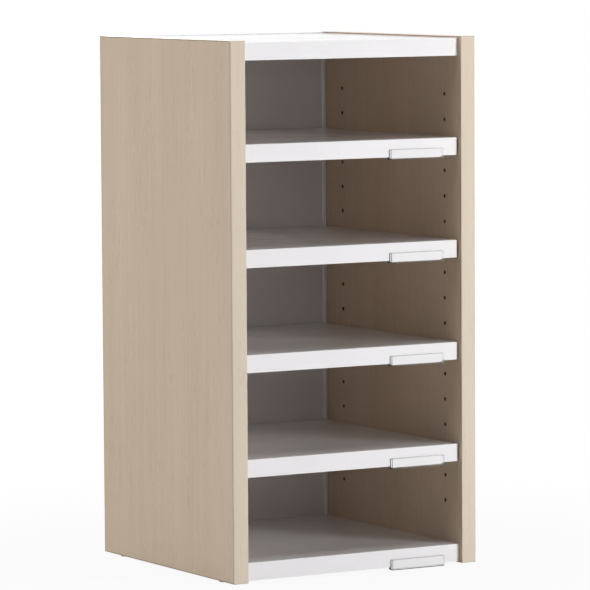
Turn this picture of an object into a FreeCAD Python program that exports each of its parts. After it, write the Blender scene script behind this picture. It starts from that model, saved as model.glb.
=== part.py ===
import FreeCAD, Part
import os
import Sketcher

# Pigeonhole mail sorter: two wood-decor side panels carry a fixed steel top and bottom, a folded steel back
# and four lift-off steel shelves on pins. A clear label holder is clipped to the front edge of the bottom
# and of each shelf, with a blank card in it.
#
# Frame: millimetres, +Z up, front towards -Y, +X to the right of someone facing the front. The origin is
# the middle of the rectangle that the sorter covers, at the height of the surface that it stands on.

SIZES = [
    ("overall_width", 350, "outer face to outer face of the side panels"),
    ("overall_depth", 334, "front edge to rear edge of the side panels"),
    ("panel_height", 660, "bottom edge to top edge of the side panels"),
    ("panel_thickness", 20.5, "side panel, board and decor"),
    ("front_band_thickness", 2, "thick band on the front edge of a side panel"),
    ("thin_band_thickness", 1, "band on the top, bottom and rear edge"),
    ("band_edge_radius", 1, "rounding of the front band's two long edges"),
    ("glide_height", 2, "what a glide stands out under its panel"),
    ("glide_diameter", 16, ""),
    ("glide_stem_diameter", 4.8, ""),
    ("glide_stem_length", 10, ""),
    ("glide_setback", 40, "glide centre to the panel's front or rear edge"),
    ("pin_hole_diameter", 5, ""),
    ("pin_hole_depth", 12, ""),
    ("pin_hole_pitch", 32, "from one row of shelf holes to the next"),
    ("pin_hole_rows", 17, ""),
    ("lowest_pin_hole", 75.4, "hole centre above the panel's bottom edge"),
    ("front_hole_setback", 38.7, "front column of holes to the panel's front edge"),
    ("hole_column_spacing", 246.4, "front column to rear column"),
    ("pin_diameter", 4.8, ""),
    ("pin_shank_length", 10, "in the panel"),
    ("pin_collar_diameter", 8, ""),
    ("pin_collar_thickness", 1.7, "fills the gap between panel and shelf"),
    ("pin_nose_length", 6.5, "under the shelf"),
    ("rows_below_shelves", 2, "hole rows below the row of the lowest shelf"),
    ("rows_between_shelves", 4, ""),
    ("sheet_thickness", 1, "steel of the shelves, top and bottom"),
    ("tray_face_height", 22, ""),
    ("tray_setback", 6, "tray front behind the panels' front edges"),
    ("tray_corner_radius", 1, "upright corners at the front"),
    ("tray_edge_radius", 0.9, "bend between top face and flanges"),
    ("hem_height", 8, "fold behind the front flange"),
    ("shelf_side_gap", 2.3, "shelf end to side panel"),
    ("shelf_rear_gap", 2, "shelf to back panel"),
    ("pin_to_shelf_top", 11, "pin centre to the shelf's top face"),
    ("slot_clearance", 0.3, "around a pin in its slot"),
    ("top_panel_drop", 2, "top face below the side panels' top edges"),
    ("bottom_panel_rise", 1.8, "flanges above the side panels' bottom edges"),
    ("back_sheet_thickness", 0.8, ""),
    ("back_setback", 1.5, "back sheet in front of the panels' rear edges"),
    ("back_flange_depth", 7, "side flange, outside to front edge"),
    ("back_bend_radius", 2.5, "inside the bend"),
    ("back_end_gap", 1, "back sheet short of the panels' top and bottom edges"),
    ("back_side_gap", 0.2, "flange to side panel"),
    ("notch_clearance", 0.3, "around a back flange in the corner of the top or bottom"),
    ("fit_clearance", 0.1, "around a screw or a stem in its hole"),
    ("tray_screw_diameter", 4, ""),
    ("tray_screw_length", 12, "under the head"),
    ("tray_screw_head_diameter", 8, ""),
    ("tray_screw_head_height", 2.4, ""),
    ("tray_screw_height", 11, "screw centre above the flange's lower edge"),
    ("back_screw_diameter", 3.5, ""),
    ("back_screw_length", 8, "under the head"),
    ("back_screw_head_diameter", 7, ""),
    ("back_screw_head_height", 1.2, ""),
    ("back_screw_inset", 32, "outer screws to the side panels"),
    ("recess_length", 3.6, "cross recess of a back screw, tip to tip"),
    ("recess_width", 0.9, ""),
    ("recess_depth", 0.8, ""),
    ("holder_length", 77, ""),
    ("holder_height", 13, ""),
    ("holder_depth", 5.2, "in front of the tray's face"),
    ("holder_front_wall", 1, ""),
    ("holder_pocket", 3.1, "room for the card"),
    ("holder_end_wall", 1, ""),
    ("holder_floor", 1.5, "under the card"),
    ("holder_hang", 3.2, "below the tray's lower edge"),
    ("holder_gap", 0.3, "holder to tray"),
    ("holder_end_distance", 25.4, "right end to the right side panel"),
    ("holder_edge_radius", 0.8, "front corners"),
    ("hook_wall", 1.2, ""),
    ("hook_rise", 6, "behind the hem, above the tray's lower edge"),
    ("card_thickness", 0.4, ""),
    ("card_clearance", 0.2, "card to the pocket's floor, ends and rear"),
]

doc = FreeCAD.newDocument("mail_sorter")

sheet = doc.addObject("Spreadsheet::Sheet", "sizes")
for row, (alias, number, meaning) in enumerate(SIZES, start=1):
    sheet.set(f"A{row}", alias)
    sheet.set(f"B{row}", str(number))
    sheet.set(f"C{row}", meaning)
    sheet.setAlias(f"B{row}", alias)
doc.recompute()

# Lengths and places that follow from the sizes, written as expressions.

INSIDE_WIDTH = "(sizes.overall_width - 2 * sizes.panel_thickness)"
PANEL_FRONT = "(-sizes.overall_depth / 2)"
CORE_DEPTH = "(sizes.overall_depth - sizes.front_band_thickness - sizes.thin_band_thickness)"
CORE_HEIGHT = "(sizes.panel_height - 2 * sizes.thin_band_thickness)"
LEFT_PANEL_X = "(-sizes.overall_width / 2)"
RIGHT_PANEL_X = "(sizes.overall_width / 2 - sizes.panel_thickness)"
TRAY_FRONT = f"({PANEL_FRONT} + sizes.tray_setback)"
BACK_FACE = "(sizes.overall_depth / 2 - sizes.back_setback - sizes.back_sheet_thickness)"
FIXED_DEPTH = f"({BACK_FACE} - {TRAY_FRONT})"
SHELF_DEPTH = f"({FIXED_DEPTH} - sizes.shelf_rear_gap)"
SHELF_WIDTH = f"({INSIDE_WIDTH} - 2 * sizes.shelf_side_gap)"
NOTCH_WIDTH = "(sizes.back_side_gap + sizes.back_sheet_thickness + sizes.back_bend_radius)"
NOTCH_DEPTH = "(sizes.back_flange_depth - sizes.back_sheet_thickness + sizes.notch_clearance)"
BACK_WIDTH = f"({INSIDE_WIDTH} - 2 * sizes.back_side_gap)"
BACK_HEIGHT = "(sizes.panel_height - 2 * sizes.back_end_gap)"
BOTTOM_Z = "(sizes.glide_height + sizes.bottom_panel_rise)"
TOP_Z = "(sizes.glide_height + sizes.panel_height - sizes.top_panel_drop - sizes.tray_face_height)"
REAR_HOLE_SETBACK = "(sizes.front_hole_setback + sizes.hole_column_spacing)"
HOLE_COLUMNS = ["sizes.front_hole_setback", REAR_HOLE_SETBACK]
SCREW_SHEET_BITE = "(sizes.tray_screw_length - sizes.sheet_thickness)"
BACK_SCREW_SPACING = "(sizes.overall_width / 2 - sizes.panel_thickness - sizes.back_screw_inset)"
PIN_ABOVE_EDGE = "(sizes.tray_face_height - sizes.pin_to_shelf_top)"
TOUCH = 1e-4


def value(expression):
    """The number that an expression gives with the sheet's present sizes."""
    return float(sheet.evalExpression(expression))


def near(first, second):
    return abs(first - second) < TOUCH


# Sketches and features. Every size and place in them is bound to the sheet.


def origin_plane(body, role):
    return next(plane for plane in body.Origin.OriginFeatures if plane.Role == role)


def new_sketch(body, name, plane, offset="0"):
    """A sketch on one of the body's own planes, moved along the plane's normal by the offset."""
    sketch = body.newObject("Sketcher::SketchObject", name)
    sketch.AttachmentSupport = [(origin_plane(body, plane), "")]
    sketch.MapMode = "FlatFace"
    sketch.setExpression("AttachmentOffset.Base.z", offset)
    return sketch


def bind_point(sketch, geometry, point, place, label):
    """Ties a point of the sketch to the sketch's origin by two bound distances."""
    for axis, kind, expression in (("x", "DistanceX", place[0]), ("y", "DistanceY", place[1])):
        number = sketch.addConstraint(Sketcher.Constraint(kind, -1, 1, geometry, point, value(expression)))
        sketch.renameConstraint(number, f"{label}_{axis}")
        sketch.setExpression(f"Constraints.{label}_{axis}", expression)


def add_polygon(sketch, corners, label="corner"):
    """A closed outline through corners, each a pair of expressions."""
    places = [FreeCAD.Vector(value(across), value(up), 0) for across, up in corners]
    lines = []
    for index, place in enumerate(places):
        following = places[(index + 1) % len(places)]
        lines.append(sketch.addGeometry(Part.LineSegment(place, following)))
    for index, line in enumerate(lines):
        sketch.addConstraint(Sketcher.Constraint("Coincident", line, 2, lines[(index + 1) % len(lines)], 1))
        bind_point(sketch, line, 1, corners[index], f"{label}_{index}")


def add_rectangle(sketch, left, right, bottom, top, label="corner"):
    add_polygon(sketch, [(left, bottom), (right, bottom), (right, top), (left, top)], label)


def add_circle(sketch, centre, diameter, label):
    middle = FreeCAD.Vector(value(centre[0]), value(centre[1]), 0)
    circle = sketch.addGeometry(Part.Circle(middle, FreeCAD.Vector(0, 0, 1), value(diameter) / 2))
    bind_point(sketch, circle, 3, centre, label)
    number = sketch.addConstraint(Sketcher.Constraint("Diameter", circle, value(diameter)))
    sketch.renameConstraint(number, f"{label}_diameter")
    sketch.setExpression(f"Constraints.{label}_diameter", diameter)


def circle_sketch(body, name, plane, centres, diameter, offset="0"):
    sketch = new_sketch(body, name, plane, offset)
    for index, centre in enumerate(centres):
        add_circle(sketch, centre, diameter, f"hole_{index}")
    return sketch


def volume_of(body):
    return body.Shape.Volume if body.Shape and not body.Shape.isNull() else 0.0


def pad(body, sketch, length, reverse=False):
    before = volume_of(body)
    feature = body.newObject("PartDesign::Pad", f"{sketch.Name}_pad")
    feature.Profile = sketch
    feature.setExpression("Length", length)
    feature.Reversed = reverse
    doc.recompute()
    if volume_of(body) <= before:
        raise RuntimeError(f"{feature.Name} adds nothing")
    return feature


def pocket(body, sketch, length, reverse=False):
    """Cuts the sketch's outlines into the body: against the sketch's normal, or along it if reversed."""
    before = volume_of(body)
    feature = body.newObject("PartDesign::Pocket", f"{sketch.Name}_pocket")
    feature.Profile = sketch
    feature.Type = "Length"
    feature.setExpression("Length", length)
    feature.Reversed = reverse
    doc.recompute()
    if volume_of(body) >= before:
        raise RuntimeError(f"{feature.Name} cuts nothing")
    return feature


def fillet(body, feature, radius, is_wanted):
    """Rounds the straight edges of a feature whose two end points pass the test."""
    names = []
    for number, edge in enumerate(feature.Shape.Edges, start=1):
        ends = [vertex.Point for vertex in edge.Vertexes]
        if len(ends) == 2 and is_wanted(ends[0], ends[1]):
            names.append(f"Edge{number}")
    if not names:
        raise RuntimeError(f"{feature.Name} has no such edge to round")
    rounding = body.newObject("PartDesign::Fillet", f"{feature.Name}_rounding")
    rounding.Base = (feature, names)
    rounding.setExpression("Radius", radius)
    doc.recompute()
    return rounding


def new_body(label, place):
    """A body with its own Label and a Placement bound to three expressions."""
    body = doc.addObject("PartDesign::Body", label)
    body.Label = label
    for axis, expression in zip("xyz", place):
        body.setExpression(f"Placement.Base.{axis}", expression)
    return body


SUB_PARTS = []


def keep(sub_part):
    SUB_PARTS.append(sub_part)


# Side panels: the board, drilled from its inner face, and four edge bands.
# Each board has its own origin at its outer (left) or inner (right) lower front corner.


def side_panel(side):
    is_left = side == "left"
    place = (
        LEFT_PANEL_X if is_left else RIGHT_PANEL_X,
        f"{PANEL_FRONT} + sizes.front_band_thickness",
        "sizes.glide_height + sizes.thin_band_thickness",
    )
    body = new_body(f"{side}_side_panel", place)
    board = new_sketch(body, f"{side}_board", "YZ_Plane")
    add_rectangle(board, "0", CORE_DEPTH, "0", CORE_HEIGHT)
    pad(body, board, "sizes.panel_thickness")

    inner_face = "sizes.panel_thickness" if is_left else "0"
    columns = [f"{column} - sizes.front_band_thickness" for column in HOLE_COLUMNS]
    lowest = "sizes.lowest_pin_hole - sizes.thin_band_thickness"
    row = circle_sketch(
        body, f"{side}_pin_holes", "YZ_Plane", [(column, lowest) for column in columns],
        "sizes.pin_hole_diameter", inner_face,
    )
    first_row = pocket(body, row, "sizes.pin_hole_depth", reverse=not is_left)
    rows = body.newObject("PartDesign::LinearPattern", f"{side}_pin_hole_rows")
    rows.Originals = [first_row]
    rows.Direction = (row, ["V_Axis"])
    rows.Mode = "Spacing"
    rows.setExpression("Offset", "sizes.pin_hole_pitch")
    rows.setExpression("Occurrences", "sizes.pin_hole_rows")
    body.Tip = rows
    doc.recompute()

    screw_heights = [
        f"{tray_z} + sizes.tray_screw_height - sizes.glide_height - sizes.thin_band_thickness"
        for tray_z in (BOTTOM_Z, TOP_Z)
    ]
    pilots = circle_sketch(
        body, f"{side}_pilot_holes", "YZ_Plane",
        [(column, height) for column in columns for height in screw_heights],
        "sizes.tray_screw_diameter + 2 * sizes.fit_clearance", inner_face,
    )
    pocket(body, pilots, f"{SCREW_SHEET_BITE} + sizes.fit_clearance", reverse=not is_left)

    stems = circle_sketch(
        body, f"{side}_stem_holes", "XY_Plane",
        [
            ("sizes.panel_thickness / 2", f"{setback} - sizes.front_band_thickness")
            for setback in ("sizes.glide_setback", "sizes.overall_depth - sizes.glide_setback")
        ],
        "sizes.glide_stem_diameter + 2 * sizes.fit_clearance",
    )
    depth = "sizes.glide_stem_length - sizes.thin_band_thickness + sizes.fit_clearance"
    pocket(body, stems, depth, reverse=True)
    keep(body)


def upright_band(side, edge, thickness, front):
    """A band over the full height of a front or rear edge."""
    left = LEFT_PANEL_X if side == "left" else RIGHT_PANEL_X
    body = new_body(f"{side}_{edge}_band", (left, front, "sizes.glide_height"))
    outline = new_sketch(body, f"{side}_{edge}_strip", "XY_Plane")
    add_rectangle(outline, "0", "sizes.panel_thickness", "0", thickness)
    strip = pad(body, outline, "sizes.panel_height")
    if edge == "front":
        fillet(
            body, strip, f"min(sizes.band_edge_radius; 0.9 * {thickness})",
            lambda one, two: near(one.y, 0) and near(two.y, 0) and near(one.x, two.x),
        )
    keep(body)


def level_band(side, edge, bottom):
    """A band on a top or bottom edge, between the front and the rear band."""
    left = LEFT_PANEL_X if side == "left" else RIGHT_PANEL_X
    place = (left, f"{PANEL_FRONT} + sizes.front_band_thickness", bottom)
    body = new_body(f"{side}_{edge}_band", place)
    outline = new_sketch(body, f"{side}_{edge}_strip", "XY_Plane")
    add_rectangle(outline, "0", "sizes.panel_thickness", "0", CORE_DEPTH)
    if edge == "bottom":
        for index, setback in enumerate(("sizes.glide_setback", "sizes.overall_depth - sizes.glide_setback")):
            add_circle(
                outline, ("sizes.panel_thickness / 2", f"{setback} - sizes.front_band_thickness"),
                "sizes.glide_stem_diameter + 2 * sizes.fit_clearance", f"stem_{index}",
            )
    pad(body, outline, "sizes.thin_band_thickness")
    keep(body)


# Trays: the shelves, the top and the bottom are all folded from sheet, open underneath, with a flange on
# every side and a hem behind the front flange. The origin is the lower front left corner.


def folded_tray(label, place, width, depth, is_fixed):
    body = new_body(label, place)

    def outline(name, inset):
        """The tray's plan, or its inside, with the rear corners cut out round the back's flanges."""
        sketch = new_sketch(body, name, "XY_Plane")
        left, right = inset, f"{width} - {inset}"
        front, rear = inset, f"{depth} - {inset}"
        if not is_fixed:
            add_rectangle(sketch, left, right, front, rear)
            return sketch
        shoulder = f"{depth} - {NOTCH_DEPTH} - {inset}"
        inner_left, inner_right = f"{NOTCH_WIDTH} + {inset}", f"{width} - {NOTCH_WIDTH} - {inset}"
        add_polygon(sketch, [
            (left, front), (right, front), (right, shoulder), (inner_right, shoulder),
            (inner_right, rear), (inner_left, rear), (inner_left, shoulder), (left, shoulder),
        ])
        return sketch

    pad(body, outline(f"{label}_plan", "0"), "sizes.tray_face_height")
    inside = outline(f"{label}_inside", "sizes.sheet_thickness")
    hollow = pocket(body, inside, "sizes.tray_face_height - sizes.sheet_thickness", reverse=True)
    width_now, height_now = value(width), value("sizes.tray_face_height")
    sheet_now = value("sizes.sheet_thickness")

    def is_inner_corner(one, two):
        upright = near(one.x, two.x) and near(one.y, two.y)
        return upright and near(one.y, sheet_now) and not near(one.z, height_now)

    def is_outer_corner(one, two):
        upright = near(one.x, two.x) and near(one.y, two.y)
        return upright and near(one.y, 0)

    def is_top_edge(one, two):
        level = near(one.z, height_now) and near(two.z, height_now)
        on_front = near(one.y, 0) and near(two.y, 0)
        on_end = near(one.x, two.x) and (near(one.x, 0) or near(one.x, width_now))
        return level and (on_front or on_end)

    inner_radius = "max(sizes.tray_corner_radius - sizes.sheet_thickness; 0.2 * sizes.sheet_thickness)"
    inner_corners = fillet(body, hollow, inner_radius, is_inner_corner)
    outer_corners = fillet(body, inner_corners, "sizes.tray_corner_radius", is_outer_corner)
    edge_radius = "min(sizes.tray_edge_radius; 0.9 * sizes.tray_corner_radius)"
    fillet(body, outer_corners, edge_radius, is_top_edge)

    hem = new_sketch(body, f"{label}_hem", "XY_Plane")
    hem_end = "sizes.tray_corner_radius + sizes.sheet_thickness"
    add_rectangle(hem, hem_end, f"{width} - ({hem_end})", "sizes.sheet_thickness / 2", "2 * sizes.sheet_thickness")
    pad(body, hem, "sizes.hem_height")
    keep(body)
    return body


def cut_through_ends(body, sketch, width):
    """Cuts a sketch on the tray's left end through both end flanges."""
    pocket(body, sketch, width, reverse=True)


def fixed_tray(label, bottom):
    """The top or the bottom: screw holes in the end flanges and in the rear flange."""
    left = f"-{INSIDE_WIDTH} / 2"
    body = folded_tray(label, (left, TRAY_FRONT, bottom), INSIDE_WIDTH, FIXED_DEPTH, True)
    side_holes = circle_sketch(
        body, f"{label}_side_holes", "YZ_Plane",
        [(f"{column} - sizes.tray_setback", "sizes.tray_screw_height") for column in HOLE_COLUMNS],
        "sizes.tray_screw_diameter + 2 * sizes.fit_clearance",
    )
    cut_through_ends(body, side_holes, INSIDE_WIDTH)
    middle = f"{INSIDE_WIDTH} / 2"
    across = [f"{middle} - {BACK_SCREW_SPACING}", middle, f"{middle} + {BACK_SCREW_SPACING}"]
    rear_holes = circle_sketch(
        body, f"{label}_rear_holes", "XZ_Plane", [(x, "sizes.tray_screw_height") for x in across],
        "sizes.back_screw_diameter + 2 * sizes.fit_clearance", f"-{FIXED_DEPTH}",
    )
    pocket(body, rear_holes, "2 * sizes.sheet_thickness", reverse=True)


def shelf_height(number):
    """The lower edge of a shelf, counted from 1 at the bottom, above the standing surface."""
    row = f"(sizes.rows_below_shelves + {number - 1} * sizes.rows_between_shelves)"
    pin = f"(sizes.glide_height + sizes.lowest_pin_hole + {row} * sizes.pin_hole_pitch)"
    return f"({pin} - {PIN_ABOVE_EDGE})"


def adjustable_shelf(number):
    """A shelf whose end flanges have slots, open below, that drop over its four pins."""
    label = f"shelf_{number}"
    place = (f"-{SHELF_WIDTH} / 2", TRAY_FRONT, shelf_height(number))
    body = folded_tray(label, place, SHELF_WIDTH, SHELF_DEPTH, False)
    columns = [f"{column} - sizes.tray_setback" for column in HOLE_COLUMNS]
    half_slot = "(sizes.pin_diameter / 2 + sizes.slot_clearance)"
    slots = new_sketch(body, f"{label}_slots", "YZ_Plane")
    for index, column in enumerate(columns):
        add_rectangle(
            slots, f"{column} - {half_slot}", f"{column} + {half_slot}", "0", PIN_ABOVE_EDGE, f"slot_{index}",
        )
    cut_through_ends(body, slots, SHELF_WIDTH)
    slot_ends = circle_sketch(
        body, f"{label}_slot_ends", "YZ_Plane", [(column, PIN_ABOVE_EDGE) for column in columns],
        f"2 * {half_slot}",
    )
    cut_through_ends(body, slot_ends, SHELF_WIDTH)


# Turned pieces that come in mirrored pairs: shelf pins and the screws of the top and the bottom. The origin
# is in the middle between the side panels; a length counts from the side panel's inner face inwards, and is
# negative inside the panel.


def mirrored_turnings(label, height, segments):
    body = new_body(label, ("0", PANEL_FRONT, height))
    body.AllowCompound = True
    pads = []
    for name, start, end, diameter in segments:
        sketch = circle_sketch(
            body, f"{label}_{name}", "YZ_Plane", [(column, "0") for column in HOLE_COLUMNS], diameter,
            f"-{INSIDE_WIDTH} / 2 + {start}",
        )
        pads.append(pad(body, sketch, f"{end} - {start}"))
    mirror = body.newObject("PartDesign::Mirrored", f"{label}_mirror")
    mirror.Originals = pads
    mirror.MirrorPlane = (origin_plane(body, "YZ_Plane"), [""])
    body.Tip = mirror
    doc.recompute()
    keep(body)


def shelf_pins(number):
    collar = "sizes.pin_collar_thickness"
    mirrored_turnings(f"shelf_{number}_pins", f"{shelf_height(number)} + {PIN_ABOVE_EDGE}", [
        ("shank", "(-sizes.pin_shank_length)", "0", "sizes.pin_diameter"),
        ("collar", "0", collar, "sizes.pin_collar_diameter"),
        ("nose", collar, f"({collar} + sizes.pin_nose_length)", "sizes.pin_diameter"),
    ])


def tray_screws(label, tray_bottom):
    head_start = "sizes.sheet_thickness"
    mirrored_turnings(label, f"{tray_bottom} + sizes.tray_screw_height", [
        ("shank", f"(-{SCREW_SHEET_BITE})", head_start, "sizes.tray_screw_diameter"),
        ("head", head_start, f"({head_start} + sizes.tray_screw_head_height)", "sizes.tray_screw_head_diameter"),
    ])


# Back: a sheet with a flange bent forward against each side panel, and the screws that hold it to the
# rear flanges of the top and the bottom. The back's origin is the lower front left corner of its flanges.


def back_screw_places(from_left, from_bottom):
    """The six screw centres, measured from a point left of and below them."""
    across = [f"{from_left} - {BACK_SCREW_SPACING}", from_left, f"{from_left} + {BACK_SCREW_SPACING}"]
    heights = [f"{tray_z} + sizes.tray_screw_height - ({from_bottom})" for tray_z in (BOTTOM_Z, TOP_Z)]
    return [(x, z) for z in heights for x in across]


def back_panel():
    bottom = "sizes.glide_height + sizes.back_end_gap"
    front = "sizes.overall_depth / 2 - sizes.back_setback - sizes.back_flange_depth"
    body = new_body("back_panel", (f"-{BACK_WIDTH} / 2", front, bottom))
    plan = new_sketch(body, "back_plan", "XY_Plane")
    add_rectangle(plan, "0", BACK_WIDTH, "0", "sizes.back_flange_depth")
    pad(body, plan, BACK_HEIGHT)
    hollow = new_sketch(body, "back_hollow", "XY_Plane")
    add_rectangle(
        hollow, "sizes.back_sheet_thickness", f"{BACK_WIDTH} - sizes.back_sheet_thickness",
        "-sizes.back_sheet_thickness", "sizes.back_flange_depth - sizes.back_sheet_thickness",
    )
    folded = pocket(body, hollow, BACK_HEIGHT, reverse=True)
    outer = value("sizes.back_flange_depth")
    inner = outer - value("sizes.back_sheet_thickness")

    def is_upright_at(depth):
        return lambda one, two: near(one.x, two.x) and near(one.y, depth) and near(two.y, depth)

    inner_bends = fillet(body, folded, "sizes.back_bend_radius", is_upright_at(inner))
    outer_radius = "sizes.back_bend_radius + sizes.back_sheet_thickness"
    fillet(body, inner_bends, outer_radius, is_upright_at(outer))
    holes = circle_sketch(
        body, "back_screw_holes", "XZ_Plane", back_screw_places(f"{BACK_WIDTH} / 2", bottom),
        "sizes.back_screw_diameter + 2 * sizes.fit_clearance", "-sizes.back_flange_depth",
    )
    pocket(body, holes, "2 * sizes.back_sheet_thickness", reverse=True)
    keep(body)


def back_panel_screws():
    """Six pan-head screws with a cross recess; the origin is on the back sheet's rear face."""
    body = new_body("back_panel_screws", ("0", "sizes.overall_depth / 2 - sizes.back_setback", "0"))
    body.AllowCompound = True
    places = back_screw_places("0", "0")
    shanks = circle_sketch(body, "back_screw_shanks", "XZ_Plane", places, "sizes.back_screw_diameter")
    pad(body, shanks, "sizes.back_screw_length")
    heads = circle_sketch(body, "back_screw_heads", "XZ_Plane", places, "sizes.back_screw_head_diameter")
    pad(body, heads, "sizes.back_screw_head_height", reverse=True)
    arms = (("level", "recess_length", "recess_width"), ("upright", "recess_width", "recess_length"))
    for name, across, up in arms:
        recess = new_sketch(body, f"back_screw_{name}_recess", "XZ_Plane", "-sizes.back_screw_head_height")
        for index, (x, z) in enumerate(places):
            add_rectangle(
                recess, f"{x} - sizes.{across} / 2", f"{x} + sizes.{across} / 2",
                f"{z} - sizes.{up} / 2", f"{z} + sizes.{up} / 2", f"arm_{index}",
            )
        pocket(body, recess, "sizes.recess_depth", reverse=True)
    keep(body)


def glides():
    """Four low glides, each pressed into a panel's bottom edge by its stem."""
    body = new_body("glides", (LEFT_PANEL_X, PANEL_FRONT, "0"))
    body.AllowCompound = True
    across = ("sizes.panel_thickness / 2", "sizes.overall_width - sizes.panel_thickness / 2")
    along = ("sizes.glide_setback", "sizes.overall_depth - sizes.glide_setback")
    places = [(x, y) for x in across for y in along]
    pad(body, circle_sketch(body, "glide_discs", "XY_Plane", places, "sizes.glide_diameter"), "sizes.glide_height")
    stems = circle_sketch(
        body, "glide_stems", "XY_Plane", places, "sizes.glide_stem_diameter", "sizes.glide_height",
    )
    pad(body, stems, "sizes.glide_stem_length")
    keep(body)


# Label holders: a clear section with a pocket for the card in front of the tray's face and a hook that
# passes under the front flange and up behind its hem. The origin is the lower front left corner.


HOLDER_LEFT = f"({INSIDE_WIDTH} / 2 - sizes.holder_end_distance - sizes.holder_length)"


def label_holder(label, tray_bottom):
    place = (HOLDER_LEFT, f"{TRAY_FRONT} - sizes.holder_depth", f"{tray_bottom} - sizes.holder_hang")
    body = new_body(label, place)
    pocket_front = "sizes.holder_front_wall"
    pocket_back = "(sizes.holder_front_wall + sizes.holder_pocket)"
    hook_front = "(sizes.holder_depth + 2 * sizes.sheet_thickness + sizes.holder_gap)"
    hook_back = f"({hook_front} + sizes.hook_wall)"
    hook_top = "(sizes.holder_hang + sizes.hook_rise)"
    under_tray = "(sizes.holder_hang - sizes.holder_gap)"
    section = new_sketch(body, f"{label}_section", "YZ_Plane")
    add_polygon(section, [
        ("0", "0"),
        (hook_back, "0"),
        (hook_back, hook_top),
        (hook_front, hook_top),
        (hook_front, under_tray),
        ("sizes.holder_depth - sizes.holder_gap", under_tray),
        ("sizes.holder_depth - sizes.holder_gap", "sizes.holder_height"),
        (pocket_back, "sizes.holder_height"),
        (pocket_back, "sizes.holder_floor"),
        (pocket_front, "sizes.holder_floor"),
        (pocket_front, "sizes.holder_height"),
        ("0", "sizes.holder_height"),
    ])
    pad(body, section, "sizes.holder_length")
    ends = (("left", "0"), ("right", "sizes.holder_length - sizes.holder_end_wall"))
    for name, start in ends:
        wall = new_sketch(body, f"{label}_{name}_end", "YZ_Plane", start)
        add_rectangle(
            wall, "sizes.holder_front_wall / 2", "sizes.holder_depth - sizes.holder_gap",
            "sizes.holder_floor / 2", "sizes.holder_height",
        )
        closed = pad(body, wall, "sizes.holder_end_wall")
    height_now, length_now = value("sizes.holder_height"), value("sizes.holder_length")

    def is_front_corner(one, two):
        on_front = near(one.y, 0) and near(two.y, 0)
        upright = near(one.x, two.x) and (near(one.x, 0) or near(one.x, length_now))
        level = near(one.z, two.z) and (near(one.z, 0) or near(one.z, height_now))
        return on_front and (upright or level)

    fillet(body, closed, "min(sizes.holder_edge_radius; 0.6 * sizes.holder_front_wall)", is_front_corner)
    keep(body)


def label_card(label, tray_bottom):
    """A blank card that stands at the rear of the holder's pocket."""
    from_end = "sizes.holder_end_wall + sizes.card_clearance"
    pocket_back = "sizes.holder_front_wall + sizes.holder_pocket"
    from_front = f"{pocket_back} - sizes.card_clearance - sizes.card_thickness"
    card = doc.addObject("Part::Box", label)
    card.Label = label
    card.setExpression("Length", f"sizes.holder_length - 2 * ({from_end})")
    card.setExpression("Width", "sizes.card_thickness")
    card.setExpression("Height", "sizes.holder_height - sizes.holder_floor - 2 * sizes.card_clearance")
    card.setExpression("Placement.Base.x", f"{HOLDER_LEFT} + {from_end}")
    card.setExpression("Placement.Base.y", f"{TRAY_FRONT} - sizes.holder_depth + {from_front}")
    card.setExpression(
        "Placement.Base.z", f"{tray_bottom} - sizes.holder_hang + sizes.holder_floor + sizes.card_clearance",
    )
    keep(card)


# The sorter, put together.

SHELF_COUNT = 4

for side_name in ("left", "right"):
    side_panel(side_name)
    upright_band(side_name, "front", "sizes.front_band_thickness", PANEL_FRONT)
    rear_band_front = "sizes.overall_depth / 2 - sizes.thin_band_thickness"
    upright_band(side_name, "rear", "sizes.thin_band_thickness", rear_band_front)
    top_band_bottom = "sizes.glide_height + sizes.panel_height - sizes.thin_band_thickness"
    level_band(side_name, "top", top_band_bottom)
    level_band(side_name, "bottom", "sizes.glide_height")

fixed_tray("top_panel", TOP_Z)
fixed_tray("bottom_panel", BOTTOM_Z)
tray_screws("top_panel_screws", TOP_Z)
tray_screws("bottom_panel_screws", BOTTOM_Z)
back_panel()
back_panel_screws()
glides()

label_holder("bottom_label_holder", BOTTOM_Z)
label_card("bottom_label_card", BOTTOM_Z)
for shelf_number in range(1, SHELF_COUNT + 1):
    adjustable_shelf(shelf_number)
    shelf_pins(shelf_number)
    label_holder(f"shelf_{shelf_number}_label_holder", shelf_height(shelf_number))
    label_card(f"shelf_{shelf_number}_label_card", shelf_height(shelf_number))

doc.recompute()

for item in doc.Objects:
    if "Invalid" in item.State or "Error" in item.State:
        raise RuntimeError(f"{item.Name} failed: {item.State}")

os.makedirs("parts", exist_ok=True)
for sub_part in SUB_PARTS:
    shape = sub_part.Shape
    if shape.isNull() or not shape.isValid():
        raise RuntimeError(f"{sub_part.Label} has no valid shape")
    shape.exportStep(f"parts/{sub_part.Label}.step")
    print(sub_part.Label, len(shape.Solids), "solids", round(shape.Volume / 1000, 2), "cm3")
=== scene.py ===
# %% [markdown]
# # A pigeonhole mail sorter
#
# This lesson gives a letter sorter its looks: two birch-decor side panels, a folded steel top, bottom and
# back, four steel shelves that lift off their pins, and a clear label holder on each of the five levels.
# The solids come ready made, in metres, +Z up, with the open front towards -Y. They keep their places and
# sizes here. The large ones only get a finish, and the small hardware is modelled again, with the roundings
# that catch the light.

# %% Load the solids
import math

import bmesh
import bpy
from mathutils import Matrix, Vector


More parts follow.
